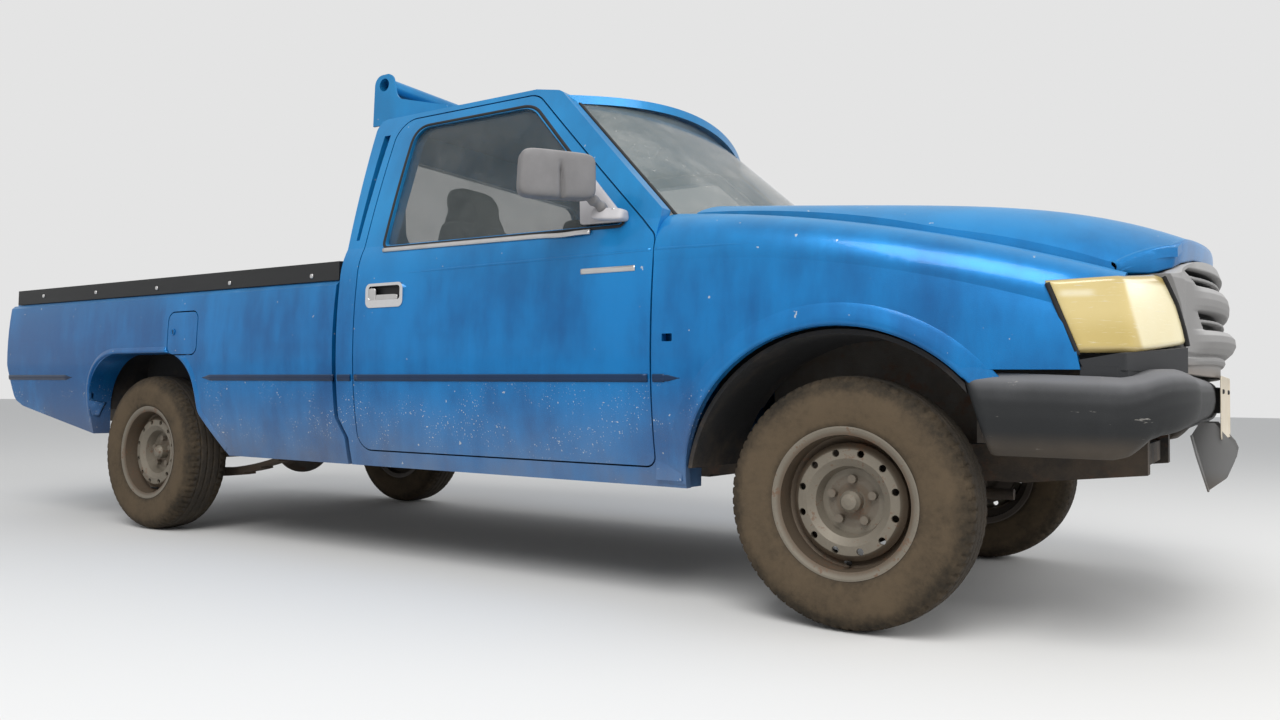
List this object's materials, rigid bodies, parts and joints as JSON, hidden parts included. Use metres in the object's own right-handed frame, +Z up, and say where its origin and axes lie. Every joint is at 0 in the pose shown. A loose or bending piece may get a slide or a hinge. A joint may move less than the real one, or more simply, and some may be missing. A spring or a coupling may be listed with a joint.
{
  "type": "pickup truck",
  "caption": "Single-cab pickup truck with a long lined load bed, steel wheels, a bar on the roof, opening doors, bonnet and tailgate, and steered front wheels.",
  "frame": {"origin": "on the ground, under the middle of the truck's length and width", "axes": "+X forward, +Y to the truck's left, +Z up"},
  "size_m": [5.05, 2.144, 1.8099],
  "materials": {
    "blue_paint": "metallic blue paint, faded and dusty",
    "chassis_black": "dull black chassis paint with road dirt",
    "bare_steel": "bare steel with light rust",
    "cast_metal": "rough casting, dusty",
    "wheel_silver": "silver paint, dull with brake and road dust",
    "tyre_rubber": "worn rubber, brown with dust",
    "bumper_plastic": "grained plastic, weathered and scuffed",
    "grille_plastic": "mid grey painted plastic, chalky",
    "liner_plastic": "grained black liner plastic, grey on top",
    "cabin_plastic": "grained dark grey cabin plastic",
    "mirror_plastic": "weathered dark grey plastic",
    "seat_fabric": "dark grey woven cloth over foam",
    "clear_glass": "clear with a slight green tint, dusty",
    "lamp_plastic": "headlamp cover turned cream-yellow by the sun",
    "tail_lamp_plastic": "red lens plastic",
    "handle_chrome": "chrome bezel, lightly pitted",
    "wiper_black": "satin black",
    "exhaust_steel": "aluminised steel, brown with heat and rust"
  },
  "bodies": {
    "truck": {"frame": "chassis_black", "cab_sides": "blue_paint", "cab_roof": "blue_paint", "cab_back": "blue_paint", "cab_floor": "blue_paint", "cowl": "blue_paint", "dashboard": "cabin_plastic", "seats": "seat_fabric", "windscreen": "clear_glass", "back_glass": "clear_glass", "wings": "blue_paint", "headlamps": "lamp_plastic", "lamp_trims": "bumper_plastic", "grille": "grille_plastic", "bumper": "bumper_plastic", "front_guard": "bumper_plastic", "front_structure": "blue_paint", "engine": "cast_metal", "driveline": "cast_metal", "exhaust": "exhaust_steel", "fuel_tank": "chassis_black", "bed_sides": "blue_paint", "bed_floor": "blue_paint", "bed_liner": "liner_plastic", "tail_lamps": "tail_lamp_plastic", "leaf_springs": "bare_steel", "rear_axle": "cast_metal", "front_suspension": "chassis_black", "steering_rack": "bare_steel", "roof_bar": "blue_paint", "wipers": "wiper_black"},
    "door_right": {"door_right": "blue_paint", "door_glass_right": "clear_glass", "door_handle_right": "handle_chrome", "mirror_right": "mirror_plastic"},
    "door_left": {"door_left": "blue_paint", "door_glass_left": "clear_glass", "door_handle_left": "handle_chrome", "mirror_left": "mirror_plastic"},
    "bonnet": {"bonnet": "blue_paint"},
    "tailgate": {"tailgate": "blue_paint"},
    "fuel_flap": {"fuel_flap": "blue_paint"},
    "steering_wheel": {"steering_wheel": "cabin_plastic"},
    "knuckle_right": {"knuckle_right": "cast_metal"},
    "knuckle_left": {"knuckle_left": "cast_metal"},
    "wheel_front_right": {"wheel_front_right": "wheel_silver", "tyre_front_right": "tyre_rubber"},
    "wheel_front_left": {"wheel_front_left": "wheel_silver", "tyre_front_left": "tyre_rubber"},
    "wheel_rear_right": {"wheel_rear_right": "wheel_silver", "tyre_rear_right": "tyre_rubber"},
    "wheel_rear_left": {"wheel_rear_left": "wheel_silver", "tyre_rear_left": "tyre_rubber"}
  },
  "joints": [
    {"name": "right_door_hinge", "type": "hinge", "parent": "truck", "child": "door_right", "pos_m": [1.137, -0.853, 0.75], "axis": [0, 0, 1], "range_deg": [0, 65]},
    {"name": "left_door_hinge", "type": "hinge", "parent": "truck", "child": "door_left", "pos_m": [1.137, 0.853, 0.75], "axis": [0, 0, -1], "range_deg": [0, 65]},
    {"name": "bonnet_hinge", "type": "hinge", "parent": "truck", "child": "bonnet", "pos_m": [1.215, 0, 1.165], "axis": [0, -1, 0], "range_deg": [0, 50]},
    {"name": "tailgate_hinge", "type": "hinge", "parent": "truck", "child": "tailgate", "pos_m": [-2.497, 0, 0.607], "axis": [0, -1, 0], "range_deg": [0, 90]},
    {"name": "fuel_flap_hinge", "type": "hinge", "parent": "truck", "child": "fuel_flap", "pos_m": [-0.995, -0.853, 0.82], "axis": [0, 0, 1], "range_deg": [0, 90]},
    {"name": "steering_column", "type": "hinge", "parent": "truck", "child": "steering_wheel", "pos_m": [0.705, 0.365, 1.01], "axis": [-0.866, 0, 0.5], "range_deg": [-560, 560]},
    {"name": "steer_right", "type": "hinge", "parent": "truck", "child": "knuckle_right", "pos_m": [1.685, -0.655, 0.325], "axis": [0, 0, 1], "range_deg": [-35, 35]},
    {"name": "steer_left", "type": "hinge", "parent": "truck", "child": "knuckle_left", "pos_m": [1.685, 0.655, 0.325], "axis": [0, 0, 1], "range_deg": [-35, 35]},
    {"name": "front_right_spin", "type": "hinge", "parent": "knuckle_right", "child": "wheel_front_right", "pos_m": [1.685, -0.715, 0.325], "axis": [0, 1, 0], "continuous": true},
    {"name": "front_left_spin", "type": "hinge", "parent": "knuckle_left", "child": "wheel_front_left", "pos_m": [1.685, 0.715, 0.325], "axis": [0, 1, 0], "continuous": true},
    {"name": "rear_right_spin", "type": "hinge", "parent": "truck", "child": "wheel_rear_right", "pos_m": [-1.4, -0.715, 0.325], "axis": [0, 1, 0], "continuous": true},
    {"name": "rear_left_spin", "type": "hinge", "parent": "truck", "child": "wheel_rear_left", "pos_m": [-1.4, 0.715, 0.325], "axis": [0, 1, 0], "continuous": true}
  ],
  "couplings": [
    {"joint": "steer_left", "follows": "steer_right", "ratio": 1},
    {"joint": "steering_column", "follows": "steer_right", "ratio": 16}
  ]
}
